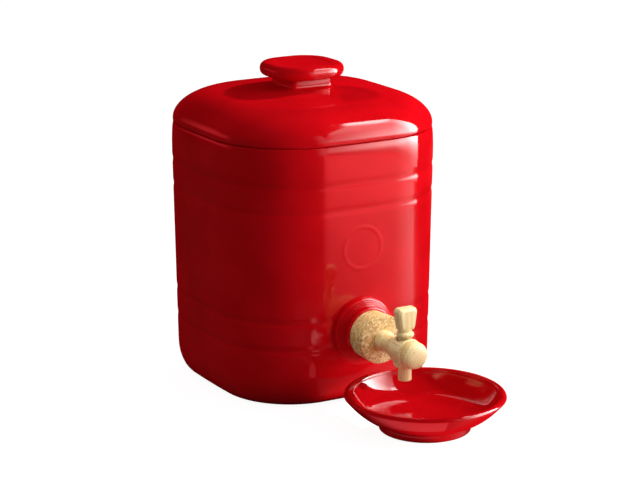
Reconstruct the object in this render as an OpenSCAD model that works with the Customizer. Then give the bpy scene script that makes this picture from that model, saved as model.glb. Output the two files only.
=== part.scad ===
// Vinegar crock: a glazed jar with a lid, a cork bung, a turned wooden tap and a drip saucer.
// Millimetres, +Z up. The origin is on the table under the middle of the crock.
// The tap looks along -Y.

/* [Crock] */
// Width of the crock from side to side, at the rim
crock_w = 180; // [165:1:220]
// Height of the rim above the table
crock_h = 195; // [175:1:240]
// Radius of the upright corners, at the rim
corner_r = 64.5; // [52:0.5:72]
// Radius of the slight bow of each side
side_bow_r = 810; // [500:10:2000]
// How far each side leans in from the rim down to the table
side_lean = 3; // [0:0.5:6]
// Thickness of the wall
wall_t = 7; // [5:0.5:9]
// Thickness of the floor
floor_t = 9; // [6:0.5:14]
// Width of the rounded heel under each side
heel_w = 12; // [6:0.5:16]
// Height of the rounded heel
heel_h = 23.5; // [14:0.5:28]
// Radius of the hollow corner between wall and floor
cove_r = 16; // [10:0.5:20]
// Rounding of the edges of the rim
rim_r = 1.75; // [0.5:0.25:2]
// Height over which the outside rolls in to the rim
rim_roll_h = 22; // [6:1:22]

/* [Grooves] */
// Height of the lowest groove above the table
low_groove_z = 44.7; // [36:0.1:50]
// Distance between the two lower grooves
low_band_h = 20.9; // [12:0.1:28]
// Distance from the rim down to the highest groove
top_groove_drop = 28.3; // [18:0.1:36]
// Distance between the two upper grooves
top_band_h = 19.2; // [12:0.1:28]
// Width of a groove
groove_w = 9; // [6:0.5:12]
// Depth of a groove
groove_d = 0.3; // [0.2:0.05:1]
// How much rounder the corners are at the bottom of a groove, which is deeper there
groove_corner_r = 0.5; // [0:0.1:3]

/* [Blank seal] */
// Outer diameter of the raised ring on the front
seal_d = 36.5; // [25:0.5:48]
// Width of the raised ring
seal_ring_w = 5.2; // [3:0.1:8]
// How far the ring stands out of the glaze
seal_rise = 0.3; // [0.2:0.05:1]
// Height of the middle of the ring above the table
seal_z = 117.5; // [110:0.5:125]

/* [Tap hole] */
// Height of the tap's axis above the table
tap_z = 55.4; // [52:0.2:60]
// Diameter of the collar where it leaves the side
collar_d = 49.6; // [48:0.2:58]
// How far the collar stands out of the side
collar_len = 12.5; // [9:0.5:18]
// Number of rounded ridges on the collar
collar_ridges = 5; // [3:1:6]
// Length of the first ridge and of the last one, which are the thick ones
thick_ridge_l = 4.4; // [3:0.2:5.4]
// Rounding of the two thick ridges
thick_ridge_r = 2; // [1:0.1:2.4]
// How much smaller each ridge after the second is in radius than the one behind it
collar_step_w = 0.9; // [0.5:0.1:1]
// Gap between the bung and the hole, which lets the bung pull out
bung_fit = 0.1; // [0.05:0.01:0.3]

/* [Lid] */
// How far the lid's edge stands back from the rim
lid_inset = 1.2; // [0.5:0.1:3]
// Gap between the lid's seat and the rim
lid_gap = 0.3; // [0.1:0.05:0.6]
// Height of the upright edge of the lid
lid_edge_h = 2.2; // [2:0.1:5]
// Rounding under the edge of the lid
lid_edge_r = 1.6; // [0.4:0.2:1.8]
// Width of the rounded shoulder of the lid
shoulder_w = 29.5; // [20:0.5:40]
// Height of the rounded shoulder of the lid
shoulder_h = 18.5; // [12:0.5:26]
// Steady rise of the lid from its edge to the knob's neck
crown_rise = 7.4; // [3:0.1:14]
// Thickness of the lid
lid_t = 7; // [5:0.5:9]
// Depth of the ring under the lid that goes inside the rim
flange_h = 9; // [6:0.5:14]
// Thickness of that ring
flange_t = 5; // [4:0.5:8]
// Gap all round between that ring and the crock's wall
flange_fit = 1; // [0.5:0.1:2]

/* [Knob] */
// Width of the neck under the knob
neck_w = 34; // [28:0.5:40]
// Radius of the neck's corners
neck_corner_r = 3; // [2:0.5:8]
// Height of the neck
neck_h = 7.6; // [5:0.2:12]
// Radius of the hollow edges where the neck meets the lid and the knob
neck_fillet = 2; // [0.5:0.25:2.5]
// Width of the knob
knob_w = 59; // [50:0.5:70]
// Radius of the knob's corners
knob_corner_r = 24; // [18:0.5:25]
// Thickness of the knob
knob_t = 10; // [8:0.5:14]
// Rounding of the knob's edges
knob_edge_r = 4.6; // [2:0.2:4.8]
// Width of the plain border on top of the knob
knob_border_w = 5; // [3:0.5:8]
// How far the middle of the knob's top lies below its border
knob_dish = 0.6; // [0.3:0.1:1.2]

/* [Cork bung] */
// Diameter of the bung's outer end
bung_front_d = 36.6; // [34:0.2:38]
// Diameter of the bung's inner end
bung_back_d = 33.2; // [30:0.2:34]
// Length of the bung
bung_len = 36.6; // [32:0.2:42]
// How far the bung stands out of the collar
bung_proud = 16.1; // [10:0.1:20]
// Bevel at the bung's ends
bung_bevel = 0.9; // [0.4:0.1:2]

/* [Tap] */
// Diameter of the shank where it enters the bung
shank_front_d = 13; // [11:0.2:14]
// Diameter of the shank's inner end
shank_back_d = 10.6; // [9:0.2:11]
// How far the shank reaches past the bung, inside the crock
shank_past = 7; // [3:0.5:14]
// Diameter of the bead that rests on the bung
bead_d = 15.4; // [14:0.2:17]
// Length of the bead
bead_l = 8; // [5:0.5:9]
// Diameter of the stem after the bead
stem_d = 13; // [11:0.2:13.6]
// Diameter of the turned ring on the stem
ring_d = 16.2; // [14:0.2:17]
// Length of the turned ring
ring_l = 5.4; // [4:0.2:6]
// Distance from the bung's face to the key's axis
key_out = 30.4; // [28:0.2:36]
// Diameter of the head that holds the key
head_d = 20.4; // [19:0.2:21]
// How far the head reaches behind the key's axis
head_back = 7.6; // [7:0.2:11]
// How far the head reaches in front of the key's axis
head_front = 6.8; // [6:0.2:8]
// Diameter of the flattened ball at the end
ball_d = 19.6; // [17:0.2:23]
// Length of that ball
ball_l = 12; // [11:0.2:14]
// Diameter at the bottom of the groove between the head and the ball
ball_neck_d = 10; // [8:0.2:14]
// Diameter of the hole that the vinegar runs through
flow_d = 5; // [4:0.25:5.5]

/* [Key] */
// Diameter of the key's plug and spout
plug_d = 9.6; // [8.5:0.1:9.8]
// Running gap between the key and its cork sleeve
key_fit = 0.08; // [0.05:0.01:0.1]
// Thickness of the cork sleeve
sleeve_t = 1.3; // [1:0.1:1.6]
// How far the cork sleeve's top lies below the crest of the head
sleeve_sunk = 2.8; // [2.4:0.1:4]
// Distance from the tap's axis down to the end of the boss
boss_drop = 12; // [11:0.1:16]
// Diameter of the boss that the key goes down through
boss_d = 17; // [15.8:0.2:18]
// Height of the rounding at the end of the boss
boss_round = 4.6; // [3:0.2:6]
// Thickness of wood that holds the sleeve from below
sleeve_seat = 5; // [4:0.2:6]
// How far the spout comes out of the boss
spout_len = 9.6; // [6:0.2:14]
// Gap under the key's collar
collar_gap = 0.3; // [0.1:0.05:0.5]
// Diameter of the key's collar
key_collar_d = 12.6; // [11:0.2:14]
// Height of the key's collar
key_collar_h = 4.2; // [3.6:0.2:7]
// Width of the key's paddle
paddle_w = 16; // [12:0.5:20]
// Thickness of the key's paddle
paddle_t = 9.6; // [8.6:0.2:11]
// Height of the key's paddle
paddle_h = 16.4; // [14:0.2:26]
// Bevel round the broad faces of the paddle
paddle_bevel = 1.8; // [1:0.2:2.4]

/* [Saucer] */
// Diameter of the saucer at its rim
saucer_d = 116; // [100:1:130]
// Height of the saucer's rim above the table
saucer_h = 26.5; // [20:0.5:27]
// Diameter of the saucer's foot
saucer_foot_d = 66; // [50:1:75]
// Height of the foot
saucer_foot_h = 6.5; // [5:0.5:8]
// Thickness of the saucer
saucer_t = 5; // [4:0.5:6]
// Width of the ring that the saucer stands on
saucer_foot_w = 5; // [4:0.5:8]
// How far the saucer's middle lies in front of the spout
saucer_ahead = 12.5; // [0:0.5:20]
// How far the saucer's middle lies to the side of the spout
saucer_side = 9.5; // [-15:0.5:15]

/* [Hidden] */
$fn = 64;
// Colours of the finishes
glaze_red = [0.70, 0.02, 0.04];
cork_tan = [0.80, 0.62, 0.40];
boxwood = [0.88, 0.74, 0.50];
// Points on each side and on each corner of a squared outline
side_points = 2;
corner_points = 10;
// Steps in a round edge, a heel and a long curve
edge_steps = 3;
heel_steps = 7;
curve_steps = 12;
// A cut runs this far past what it cuts, and a joined piece this far into its carrier
over = 1;
// Small shapes of the turned wood
turned_groove_w = 1.2;
turned_bevel = 1.2;
boss_lip = 0.9;
spout_bevel = 0.6;
key_neck_l = 1.2;
key_neck_share = 0.95;
// How far a thin collar ridge bulges, as a share of the step between two ridges
ridge_bulge = 0.9;
// Angles at which the outline of a thin ridge and of the last thick one leaves the groove behind it
thin_ridge_from = -90;
last_ridge_from = -45;
// How flat the front of the tap's ball is: 2 is an ellipse, more is flatter
ball_power = 2.6;
// Shapes of the saucer: the hollow in its foot, its foot's edge and the curves of both faces
foot_hollow = 3;
foot_edge = 0.8;
under_curve = 1.7;
bowl_curve = 5.5;

half_w = crock_w / 2;
bow_q = side_bow_r - half_w;
groove_zs = [
    low_groove_z,
    low_groove_z + low_band_h,
    crock_h - top_groove_drop - top_band_h,
    crock_h - top_groove_drop
];
seat_z = crock_h + lid_gap;
lean_angle = atan(side_lean / crock_h);

// Along the tap's axis, distances are counted outwards from the front side of the crock
front_y = -(half_w - lean_at(tap_z));
bung_out = collar_len + bung_proud;
bung_in = bung_out - bung_len;
key_y = front_y - bung_out - key_out;
plug_r = plug_d / 2;
sleeve_in_r = plug_r + key_fit;
sleeve_out_r = sleeve_in_r + sleeve_t;
head_top_z = tap_z + head_d / 2;
sleeve_top_z = head_top_z - sleeve_sunk;
boss_z = tap_z - boss_drop;
sleeve_z = boss_z + sleeve_seat;
spout_z = boss_z - spout_len;
key_collar_z = head_top_z + collar_gap;

// How far a side has leaned in at a height
function lean_at(z) = side_lean * (1 - z / crock_h);

// A squared outline with bowed sides and round corners, as points counted from +X towards +Y
function squared(half, rc) =
    let (
        rs = half + bow_q,
        c = (sqrt(2 * (rs - rc) ^ 2 - bow_q ^ 2) - bow_q) / 2,
        turn = atan2(c, c + bow_q)
    )
    [for (quarter = [0:3]) each concat(
        [for (i = [0:side_points - 1])
            let (t = -turn + 2 * turn * i / side_points)
            quarter_turn([rs * cos(t) - bow_q, rs * sin(t)], quarter)],
        [for (i = [0:corner_points - 1])
            let (t = turn + (90 - 2 * turn) * i / corner_points)
            quarter_turn([c + rc * cos(t), c + rc * sin(t)], quarter)]
    )];

function quarter_turn(p, n) =
    n == 0 ? p : quarter_turn([-p[1], p[0]], n - 1);

// Part of an ellipse as points, from one angle to another
function arc(middle, radii, from, to, steps) =
    [for (i = [0:steps])
        let (a = from + (to - from) * i / steps)
        [middle[0] + radii[0] * cos(a), middle[1] + radii[1] * sin(a)]];

// A closed solid through rings of [half width, corner radius, height]
module loft(rings) {
    outlines = [for (r = rings) [for (p = squared(r[0], r[1])) [p[0], p[1], r[2]]]];
    n = len(outlines[0]);
    last = len(rings) - 1;
    sides = [for (i = [0:last - 1], j = [0:n - 1])
        let (k = (j + 1) % n)
        [i * n + j, (i + 1) * n + j, (i + 1) * n + k, i * n + k]];
    bottom = [[for (j = [0:n - 1]) j]];
    top = [[for (j = [0:n - 1]) last * n + n - 1 - j]];
    polyhedron(points = [for (o = outlines) each o], faces = concat(bottom, sides, top));
}

// Stands a turned piece on the tap's axis, with its own +Z pointing out of the crock
module on_tap_axis(z = tap_z, tilt = 0)
    translate([0, -(half_w - lean_at(z)), z])
        rotate([90 + tilt, 0, 0])
            children();

// A ring of the crock's wall, set in from the rim's outline
function wall_ring(inset, z) = [half_w - inset, corner_r - inset, z];

function groove_rings(z) =
    [for (s = [-1, -0.5, 0, 0.5, 1])
        let (h = z + s * groove_w / 2)
        groove_ring(lean_at(h), (1 + cos(180 * s)) / 2, h)];

// A ring of the wall in a groove, at a share of the groove's full depth
function groove_ring(inset, share, z) =
    let (r = wall_ring(inset + groove_d * share, z))
    [r[0], r[1] + groove_corner_r * share, r[2]];

module crock_shell() {
    heel = [for (p = arc([heel_w, heel_h], [heel_w, heel_h], 270, 180, heel_steps))
        wall_ring(lean_at(p[1]) + p[0], p[1])];
    grooves = [for (z = groove_zs) each groove_rings(z)];
    rim_out = [for (p = arc([rim_r, crock_h - rim_roll_h], [rim_r, rim_roll_h], 180, 90, heel_steps))
        wall_ring(lean_at(p[1]) + p[0], p[1])];
    rim_in = [for (p = arc([wall_t - rim_r, crock_h - rim_r], [rim_r, rim_r], 90, 0, edge_steps))
        wall_ring(p[0], p[1])];
    cove = [for (p = arc([wall_t + cove_r, floor_t + cove_r], [cove_r, cove_r], 180, 270, heel_steps))
        wall_ring(lean_at(p[1]) + p[0], p[1])];
    loft(concat(heel, grooves, rim_out, rim_in, cove));
}

// Ridged collar round the tap hole: a thick ridge at each end and thin ones between
module hole_collar() {
    last = collar_ridges - 1;
    thin_l = (collar_len - 2 * thick_ridge_l) / (collar_ridges - 2);
    ridges = [for (i = [0:last]) each
        let (
            thick = i == 0 || i == last,
            length = thick ? thick_ridge_l : thin_l,
            bulge = thick ? thick_ridge_r : collar_step_w * ridge_bulge,
            start = i == 0 ? 0 : thick ? last_ridge_from : thin_ridge_from,
            from = i == 0 ? 0 : thick_ridge_l + (i - 1) * thin_l,
            r = collar_d / 2 - (i == 0 ? 0 : thick_ridge_r + (i - 1) * collar_step_w)
        )
        arc([r - bulge, from + length / 2], [bulge, length / 2], start, 90, 2 * edge_steps)];
    root = wall_t - over;
    rotate_extrude()
        polygon(concat([[0, -root], [collar_d / 2, -root]], ridges, [[0, collar_len]]));
}

// Plain ring with soft flanks
module seal_ring() {
    r = seal_d / 2;
    mid = r - seal_ring_w / 2;
    rotate_extrude()
        polygon(concat(
            [[r - seal_ring_w, -over], [r, -over]],
            [for (s = [1, 0.5, 0, -0.5, -1])
                [mid + s * seal_ring_w / 2, seal_rise * (1 + cos(180 * s)) / 2]]
        ));
}

// Radius of the bung at a distance out from the crock's side
function bung_r(out) =
    (bung_back_d + (bung_front_d - bung_back_d) * (out - bung_in) / bung_len) / 2;

module crock_body() {
    hole_from = -wall_t - 2 * over;
    hole_to = collar_len + over;
    color(glaze_red)
        difference() {
            union() {
                crock_shell();
                on_tap_axis() hole_collar();
                on_tap_axis(seal_z, lean_angle) seal_ring();
            }
            on_tap_axis()
                translate([0, 0, hole_from])
                    cylinder(h = hole_to - hole_from, r1 = bung_r(hole_from) + bung_fit,
                        r2 = bung_r(hole_to) + bung_fit);
        }
}

module lid() {
    lid_half = half_w - lid_inset;
    lid_corner = corner_r - lid_inset;
    neck_half = neck_w / 2;
    knob_half = knob_w / 2;
    shoulder_z = seat_z + lid_edge_h;
    slope = crown_rise / (lid_half - neck_half);
    neck_z = shoulder_z + shoulder_h + crown_rise;
    knob_z = neck_z + neck_h;
    top_z = knob_z + knob_t;
    flange_out = wall_t + flange_fit;
    flange_in = flange_out + flange_t;
    low_z = seat_z - flange_h;

    // A ring of the lid, smaller in every direction as it is set in
    function lid_ring(inset, z) =
        let (s = (lid_half - inset) / lid_half)
        [lid_half * s, lid_corner * s, z];

    crown = [for (p = arc([shoulder_w, 0], [shoulder_w, shoulder_h], 180, 90, heel_steps))
        lid_ring(p[0], shoulder_z + p[1] + slope * p[0])];
    under = [for (p = arc([shoulder_w, 0], [shoulder_w - flange_in + lid_inset, shoulder_h],
            90, 180, heel_steps))
        lid_ring(p[0], shoulder_z - lid_t + p[1] + slope * p[0])];
    inside = [lid_ring(lid_half - neck_half, neck_z - lid_t)];
    flange = [
        wall_ring(flange_in, low_z + over),
        wall_ring(flange_in - over, low_z),
        wall_ring(flange_out + over, low_z),
        wall_ring(flange_out, low_z + over),
        wall_ring(flange_out, seat_z)
    ];
    edge = [for (p = arc([lid_inset + lid_edge_r, seat_z + lid_edge_r], [lid_edge_r, lid_edge_r],
            270, 180, edge_steps))
        wall_ring(p[0], p[1])];
    fillet_r = [neck_fillet, neck_fillet];
    neck = [for (p = concat(
            arc([neck_half + neck_fillet, neck_z + neck_fillet], fillet_r, 270, 180, edge_steps),
            arc([neck_half + neck_fillet, knob_z - neck_fillet], fillet_r, 180, 90, edge_steps)))
        [p[0], neck_corner_r + p[0] - neck_half, p[1]]];
    low_edge = [for (p = arc([knob_half - knob_edge_r, knob_z + knob_edge_r], [knob_edge_r, knob_edge_r],
            270, 360, edge_steps))
        [p[0], knob_corner_r + p[0] - knob_half, p[1]]];
    high_edge = [for (p = arc([knob_half - knob_edge_r, top_z - knob_edge_r], [knob_edge_r, knob_edge_r],
            0, 90, edge_steps))
        [p[0], knob_corner_r + p[0] - knob_half, p[1]]];
    border = [for (side = [0, 1])
        let (set_in = knob_edge_r + knob_border_w + side * knob_dish)
        [knob_half - set_in, knob_corner_r - set_in, top_z - side * knob_dish]];
    color(glaze_red)
        loft(concat(inside, under, flange, edge, crown, neck, low_edge, high_edge, border));
}

module cork_bung() {
    b = bung_bevel;
    color(cork_tan)
        on_tap_axis()
            difference() {
                rotate_extrude()
                    polygon([
                        [0, bung_in],
                        [bung_r(bung_in) - b, bung_in],
                        [bung_r(bung_in + b), bung_in + b],
                        [bung_r(bung_out - b), bung_out - b],
                        [bung_r(bung_out) - b, bung_out],
                        [0, bung_out]
                    ]);
                translate([0, 0, bung_in - over])
                    cylinder(h = bung_len + 2 * over, r1 = shank_r(bung_in - over) + key_fit,
                        r2 = shank_r(bung_out + over) + key_fit);
            }
}

// Radius of the tap's shank at a distance out from the crock's side
function shank_r(out) =
    let (back = bung_in - shank_past)
    (shank_back_d + (shank_front_d - shank_back_d) * (out - back) / (bung_out - back)) / 2;

// Outline of the turned wood, from the shank's inner end to the tip of the ball
function tap_outline() =
    let (
        back = bung_in - shank_past,
        key_at = bung_out + key_out,
        head_from = key_at - head_back,
        head_to = key_at + head_front,
        ring_to = head_from - turned_groove_w,
        ring_from = ring_to - ring_l,
        bevel = turned_bevel,
        ball_from = -acos(ball_neck_d / ball_d),
        ball_at = head_to - sin(ball_from) * ball_l / 2
    )
    concat(
        [[0, back], [shank_r(back) - bevel, back], [shank_r(back + bevel), back + bevel]],
        [[shank_r(bung_out), bung_out]],
        arc([stem_d / 2, bung_out + bead_l / 2], [(bead_d - stem_d) / 2, bead_l / 2], -90, 90, heel_steps),
        [[stem_d / 2, ring_from]],
        arc([stem_d / 2, ring_from + ring_l / 4], [(ring_d - stem_d) / 2, ring_l / 4], -90, 90, edge_steps),
        arc([stem_d / 2, ring_to - ring_l / 4], [(ring_d - stem_d) / 2, ring_l / 4], -90, 90, edge_steps),
        [[stem_d / 2, head_from]],
        arc([head_d / 2 - bevel, head_from + bevel], [bevel, bevel], -90, 0, edge_steps),
        arc([head_d / 2 - bevel, head_to - bevel], [bevel, bevel], 0, 90, edge_steps),
        arc([0, ball_at], [ball_d / 2, ball_l / 2], ball_from, 0, edge_steps),
        [for (i = [1:curve_steps])
            let (a = 90 * i / curve_steps, p = 2 / ball_power)
            [ball_d / 2 * max(cos(a), 0) ^ p, ball_at + ball_l / 2 * sin(a) ^ p]]
    );

// Outline of the boss under the head, rounded in towards the spout
function boss_outline() =
    let (low_r = sleeve_in_r + boss_lip, round_z = boss_z + boss_round)
    concat(
        [[0, boss_z]],
        arc([low_r, round_z], [boss_d / 2 - low_r, boss_round], -90, 0, heel_steps),
        [[boss_d / 2, tap_z], [0, tap_z]]
    );

module tap_body() {
    color(boxwood)
        difference() {
            union() {
                on_tap_axis() rotate_extrude() polygon(tap_outline());
                translate([0, key_y, 0]) rotate_extrude() polygon(boss_outline());
            }
            translate([0, key_y, sleeve_z])
                cylinder(h = head_top_z - sleeve_z + over, r = sleeve_out_r + key_fit);
            translate([0, key_y, boss_z - over]) cylinder(h = boss_drop, r = sleeve_in_r);
            on_tap_axis()
                translate([0, 0, bung_in - shank_past - over])
                    cylinder(h = bung_len + shank_past + key_out + over, d = flow_d);
        }
}

module key_sleeve() {
    color(cork_tan)
        difference() {
            translate([0, key_y, sleeve_z])
                cylinder(h = sleeve_top_z - sleeve_z, r = sleeve_out_r);
            translate([0, key_y, sleeve_z - over])
                cylinder(h = sleeve_top_z - sleeve_z + 2 * over, r = sleeve_in_r);
            translate([0, key_y, tap_z])
                rotate([-90, 0, 0])
                    cylinder(h = 2 * sleeve_out_r, d = flow_d);
        }
}

// Broad face of the paddle: wide near the top, drawn in to the neck, with cut corners
function paddle_face(w, h) = [
    [-w * 0.33, 0],
    [w * 0.33, 0],
    [w * 0.4, h * 0.16],
    [w * 0.5, h * 0.84],
    [w * 0.4, h],
    [-w * 0.4, h],
    [-w * 0.5, h * 0.84],
    [-w * 0.4, h * 0.16]
];

module paddle() {
    b = paddle_bevel;
    rotate([90, 0, 0])
        hull() {
            translate([0, 0, -paddle_t / 2 + b])
                linear_extrude(paddle_t - 2 * b) polygon(paddle_face(paddle_w, paddle_h));
            translate([0, b, -paddle_t / 2])
                linear_extrude(paddle_t) polygon(paddle_face(paddle_w - 2 * b, paddle_h - 2 * b));
        }
}

module tap_key() {
    neck_r = plug_r * key_neck_share;
    bead_r = key_collar_d / 2;
    tip = spout_bevel;
    collar_top = key_collar_z + key_collar_h;
    paddle_z = collar_top + key_neck_l;
    color(boxwood)
        translate([0, key_y, 0])
            difference() {
                union() {
                    rotate_extrude()
                        polygon(concat(
                            [[0, spout_z], [plug_r - tip, spout_z], [plug_r, spout_z + tip]],
                            [[plug_r, key_collar_z], [bead_r - tip, key_collar_z]],
                            arc([bead_r - key_collar_h / 2, key_collar_z + key_collar_h / 2],
                                [key_collar_h / 2, key_collar_h / 2], -60, 60, heel_steps),
                            [[neck_r, collar_top], [neck_r, paddle_z + over], [0, paddle_z + over]]
                        ));
                    translate([0, 0, paddle_z]) paddle();
                }
                translate([0, 0, spout_z - over]) cylinder(h = tap_z - spout_z + over, d = flow_d);
                translate([0, 0, tap_z]) rotate([0, 90, 0]) cylinder(h = plug_d, d = flow_d);
            }
}

// Underside of the saucer: flat near the foot and steeper towards the rim
function saucer_under(t) =
    let (foot_r = saucer_foot_d / 2, rim = saucer_d / 2)
    [foot_r + (rim - foot_r) * t, saucer_foot_h + (saucer_h - saucer_t / 2 - saucer_foot_h) * t ^ under_curve];

module drip_saucer() {
    foot_r = saucer_foot_d / 2;
    rim_half = saucer_t / 2;
    rim_mid = saucer_d / 2 - rim_half;
    hollow_z = saucer_foot_h - foot_hollow;
    bowl_floor = hollow_z + saucer_t;
    bowl_top = saucer_h - rim_half;
    bowl_r = rim_mid - rim_half;
    color(glaze_red)
        translate([saucer_side, key_y - saucer_ahead, 0])
            rotate_extrude($fn = 96)
                polygon(concat(
                    [[0, hollow_z], [foot_r - saucer_foot_w - over, hollow_z]],
                    [[foot_r - saucer_foot_w, 0], [foot_r - foot_edge, 0], [foot_r, foot_edge]],
                    [for (i = [0:curve_steps - 1]) saucer_under(i / curve_steps)],
                    arc([rim_mid, bowl_top], [rim_half, rim_half], 0, 180, heel_steps),
                    [for (i = [1:curve_steps])
                        let (t = 1 - i / curve_steps)
                        [bowl_r * t, bowl_floor + (bowl_top - bowl_floor) * t ^ bowl_curve]]
                ));
}

crock_body();
lid();
cork_bung();
tap_body();
key_sleeve();
tap_key();
drip_saucer();
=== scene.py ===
# %% [markdown]
# # A vinegar crock
# A red-glazed, squared crock with a domed lid stands on a table. Low on its front a wooden tap is
# pushed into a cork bung, and a saucer catches the drips. The frame holds the real sizes, so each
# piece below is drawn in metres exactly where the frame has it, and moves with its body.

# %% Load the frame
import math

import bpy
import bmesh
import numpy as np
from mathutils import Matrix, Vector


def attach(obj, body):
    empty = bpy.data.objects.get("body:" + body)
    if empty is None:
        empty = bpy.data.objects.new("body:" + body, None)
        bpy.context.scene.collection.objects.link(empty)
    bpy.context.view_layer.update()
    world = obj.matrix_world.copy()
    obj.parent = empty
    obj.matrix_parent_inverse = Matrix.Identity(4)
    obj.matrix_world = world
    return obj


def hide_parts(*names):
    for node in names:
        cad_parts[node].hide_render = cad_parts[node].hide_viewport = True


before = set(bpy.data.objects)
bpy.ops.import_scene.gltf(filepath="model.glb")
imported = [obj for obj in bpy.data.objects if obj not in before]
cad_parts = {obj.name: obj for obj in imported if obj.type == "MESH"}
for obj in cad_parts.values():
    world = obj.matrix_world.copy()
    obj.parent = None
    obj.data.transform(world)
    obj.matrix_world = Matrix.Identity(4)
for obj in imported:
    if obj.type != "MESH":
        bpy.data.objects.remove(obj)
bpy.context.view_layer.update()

# %% [markdown]
# ## Sizes
# These are the sizes of the part's source, here in millimetres because a potter thinks in them. One
# factor turns finished points into metres. The sides lean outwards as they rise, so a height tells
# how far in the wall stands there.

# %% Sizes
MM = 0.001
HALF_W, CROCK_H, CORNER_R, BOW_Q = 90.0, 195.0, 64.5, 720.0
SIDE_LEAN, WALL_T, FLOOR_T = 3.0, 7.0, 9.0
TAP_Z = 55.4


def lean_at(z):
    """How far inside the widest outline the wall stands at a height."""
    return SIDE_LEAN * (1 - z / CROCK_H)


FRONT_Y = -(HALF_W - lean_at(TAP_Z))
BUNG_OUT, BUNG_IN, KEY_PAST_BUNG = 28.6, -8.0, 30.4
KEY_OUT = BUNG_OUT + KEY_PAST_BUNG
KEY_Y = FRONT_Y - KEY_OUT
print("tap leaves the side at y =", round(FRONT_Y, 2), "and the key stands at y =", round(KEY_Y, 2))

# %% [markdown]
# ## Rings, lathe and knife
# Nearly everything here is either thrown on a wheel, turned on a lathe or pressed in a mould, so all
# of it can be described as a stack of rings. A mesh made of rings has even quads and smooth
# highlights, which a shiny glaze needs.

# %% Helpers for rings
SIDE_POINTS, CORNER_POINTS, NO_SIZE = 20, 44, 1e-6


def arc(middle, radii, start, stop, steps):
    """Points on part of an ellipse, angles in degrees."""
    return [(middle[0] + radii[0] * math.cos(a), middle[1] + radii[1] * math.sin(a))
            for a in np.radians(np.linspace(start, stop, steps + 1))]


def squared(half, corner_r, front_points=SIDE_POINTS):
    """A squared outline with slightly bowed sides and round corners, finer on the front if asked."""
    side_r = half + BOW_Q
    centre = (math.sqrt(2 * (side_r - corner_r) ** 2 - BOW_Q ** 2) - BOW_Q) / 2
    turn = math.atan2(centre, centre + BOW_Q)
    corner = np.linspace(turn, math.pi / 2 - turn, CORNER_POINTS, endpoint=False)
    outline = []
    for quarter, count in enumerate((SIDE_POINTS, SIDE_POINTS, SIDE_POINTS, front_points)):
        side = np.linspace(-turn, turn, count, endpoint=False)
        points = np.vstack([
            np.column_stack([side_r * np.cos(side) - BOW_Q, side_r * np.sin(side)]),
            np.column_stack([centre + corner_r * np.cos(corner), centre + corner_r * np.sin(corner)])])
        for _ in range(quarter):
            points = np.column_stack([-points[:, 1], points[:, 0]])
        outline.append(points)
    return np.vstack(outline)


def circle(r, segments):
    a = np.linspace(0, 2 * math.pi, segments, endpoint=False)
    return np.column_stack([r * np.cos(a), r * np.sin(a)])


def stack(outlines, heights):
    """A closed skin over rings of points; rings that shrink to nothing close to a point."""
    points, faces, rows = [], [], []
    for outline, z in zip(outlines, heights):
        if abs(outline).max() < NO_SIZE:
            rows.append([len(points)])
            points.append((0.0, 0.0, z))
        else:
            rows.append(list(range(len(points), len(points) + len(outline))))
            points += [(x, y, z) for x, y in outline]
    for low, high in zip(rows, rows[1:]):
        n = max(len(low), len(high))
        for j in range(n):
            k = (j + 1) % n
            quad = [low[j % len(low)], low[k % len(low)], high[k % len(high)], high[j % len(high)]]
            faces.append(list(dict.fromkeys(quad)))
    if len(rows[0]) > 1:
        faces.append(rows[0][::-1])
    if len(rows[-1]) > 1:
        faces.append(rows[-1])
    return np.array(points), faces


def turned_skin(profile, segments):
    """A lathe: the profile is (radius, distance along the axis) from one end to the other."""
    return stack([circle(max(r, 0.0), segments) for r, _ in profile], [z for _, z in profile])


print("a squared ring has", len(squared(HALF_W, CORNER_R)), "points")

# %% [markdown]
# A skin becomes an object in metres, and holes are cut afterwards with exact booleans, as a drill would.
# When a piece is done it is smoothed and gets its body, so that it moves as the frame says, and the frame's
# solids that it stands for are hidden.

# %% Helpers for pieces
SMOOTH_TO = math.radians(36)
ALONG_TAP = Matrix.Translation((0, FRONT_Y * MM, TAP_Z * MM)) @ Matrix.Rotation(math.pi / 2, 4, "X")
DOWN_KEY = Matrix.Translation((0, KEY_Y * MM, 0))


def solid(name, skin, place=None):
    """An object in metres from a skin in millimetres."""
    points, faces = skin
    mesh = bpy.data.meshes.new(name)
    mesh.from_pydata(points * MM, [], faces)
    if place is not None:
        mesh.transform(place)
    work = bmesh.new()
    work.from_mesh(mesh)
    bmesh.ops.recalc_face_normals(work, faces=work.faces)
    work.to_mesh(mesh)
    work.free()
    piece = bpy.data.objects.new(name, mesh)
    bpy.context.scene.collection.objects.link(piece)
    return piece


def drill(name, span, radii, segments, place):
    """A round tool for cutting a hole, tapered where its two ends have different radii."""
    (low, high), (low_r, high_r) = span, radii
    return solid(name, turned_skin([(0, low), (low_r, low), (high_r, high), (0, high)], segments), place)


def keep_result(piece):
    """Replaces a piece's mesh by what its modifiers make of it."""
    bpy.context.view_layer.update()
    seen = piece.evaluated_get(bpy.context.evaluated_depsgraph_get())
    old, piece.data = piece.data, bpy.data.meshes.new_from_object(seen)
    piece.modifiers.clear()
    piece.data.name = piece.name
    bpy.data.meshes.remove(old)


def knife(piece, operation, *tools):
    """Joins tools to a piece, or cuts them out of it."""
    for tool in tools:
        cut = piece.modifiers.new(tool.name, "BOOLEAN")
        cut.operation, cut.solver, cut.object = operation, "EXACT", tool
        keep_result(piece)
        bpy.data.meshes.remove(tool.data)


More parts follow.
